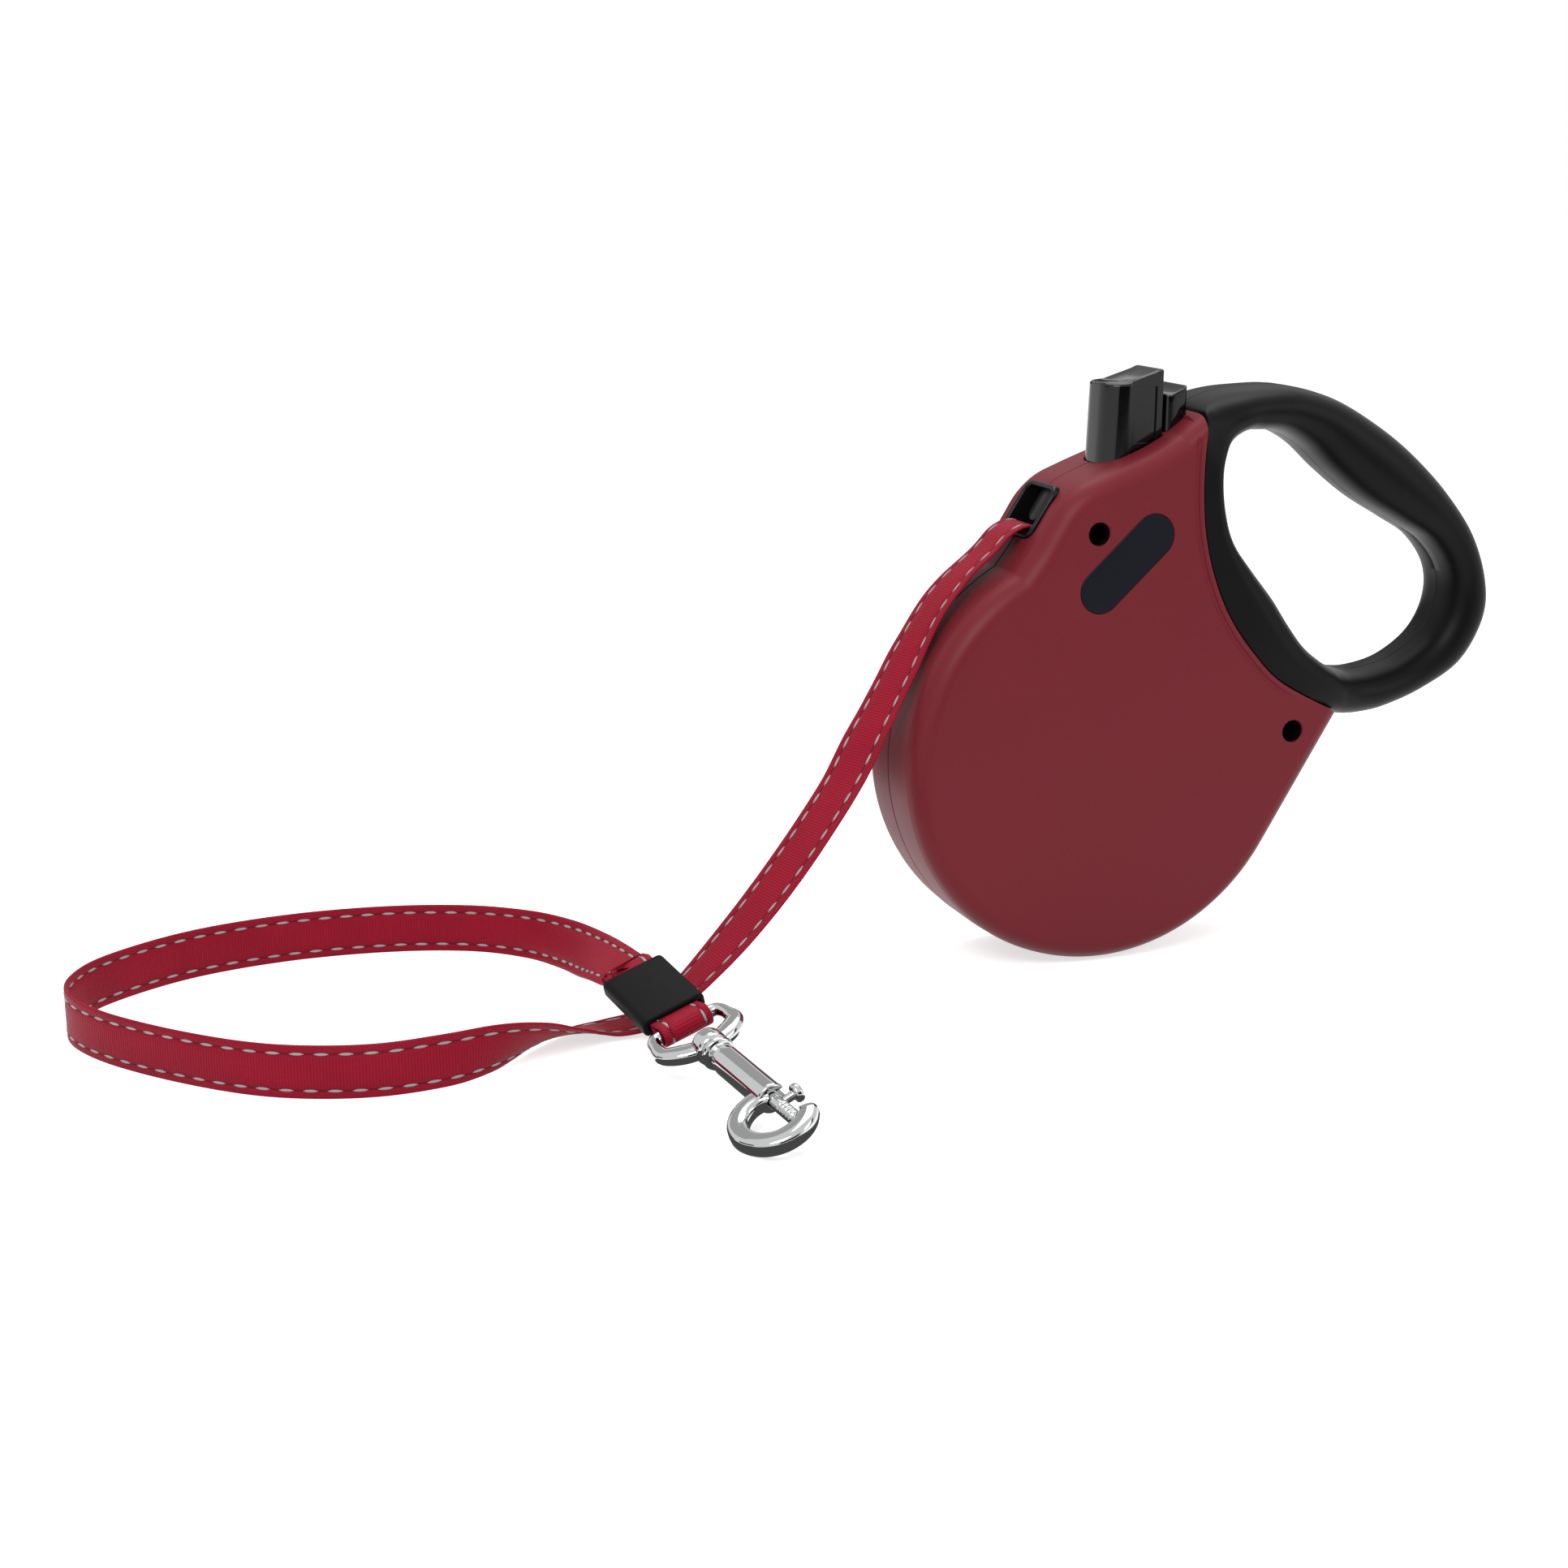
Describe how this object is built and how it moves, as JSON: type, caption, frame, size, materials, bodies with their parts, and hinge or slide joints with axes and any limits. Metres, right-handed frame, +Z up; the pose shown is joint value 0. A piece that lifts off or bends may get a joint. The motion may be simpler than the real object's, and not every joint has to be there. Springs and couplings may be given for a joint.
{
  "type": "retractable leash",
  "caption": "Retractable tape leash with a spring spool in a round casing, brake and lock buttons, a closed-loop handle and a swivel bolt snap at the end of looped webbing tape.",
  "frame": {"origin": "bottom centre of the box round the casing, handle and buttons, without the free tape and its snap", "axes": "+X from the casing towards the handle, +Z up, +Y through the thickness from the front cover to the rear cover"},
  "size_m": [0.4435, 0.1941, 0.1798],
  "materials": {
    "casing_red": "matte dark red",
    "grip_black": "soft-touch black",
    "trim_black": "satin black",
    "button_black": "gloss black",
    "spool_plastic": "natural nylon, unseen inside",
    "steel": "plain steel",
    "tape_red": "crimson nylon webbing",
    "keeper_rubber": "matte black",
    "chrome": "polished chrome"
  },
  "bodies": {
    "casing": {"front_casing": "casing_red", "rear_casing": "casing_red", "front_handle": "grip_black", "rear_handle": "grip_black", "tape_outlet": "trim_black", "label_plate": "trim_black", "casing_screws": "steel", "axle": "steel", "front_washer": "steel", "rear_washer": "steel", "tape_lead": "tape_red", "brake_spring": "steel", "leash_tape": "tape_red", "tape_fold": "tape_red", "keeper": "keeper_rubber"},
    "spool": {"spool": "spool_plastic", "spool_cover": "spool_plastic", "power_spring": "steel", "wound_tape": "tape_red"},
    "brake": {"brake_button": "button_black", "brake_bar": "spool_plastic"},
    "lock": {"lock_button": "button_black"},
    "eye": {"swivel_eye": "chrome"},
    "hook": {"hook_body": "chrome", "bolt_spring": "steel"},
    "bolt": {"hook_bolt": "chrome", "thumb_knob": "chrome"}
  },
  "joints": [
    {"name": "spool_spin", "type": "hinge", "parent": "casing", "child": "spool", "pos_m": [-0.03702, 0, 0.065], "axis": [0, 1, 0], "continuous": true},
    {"name": "brake_press", "type": "slide", "parent": "casing", "child": "brake", "axis": [0, 0, -1], "range_m": [0, 0.005], "stiffness_N_per_m": 400, "springref_m": -0.003, "deforming": ["brake_spring"]},
    {"name": "lock_slide", "type": "slide", "parent": "casing", "child": "lock", "axis": [0.8089, 0, 0.5879], "range_m": [0, 0.0024]},
    {"name": "eye_pivot", "type": "hinge", "parent": "casing", "child": "eye", "pos_m": [-0.18577, -0.06051, 0.01328], "axis": [0.9425, 0.1401, 0.3033], "range_deg": [-35, 45]},
    {"name": "hook_swivel", "type": "hinge", "parent": "eye", "child": "hook", "pos_m": [-0.18577, -0.06051, 0.01328], "axis": [0.1753, -0.9802, -0.0922], "continuous": true},
    {"name": "bolt_slide", "type": "slide", "parent": "hook", "child": "bolt", "axis": [-0.1753, 0.9802, 0.0922], "range_m": [0, 0.008], "stiffness_N_per_m": 300, "springref_m": -0.004}
  ]
}
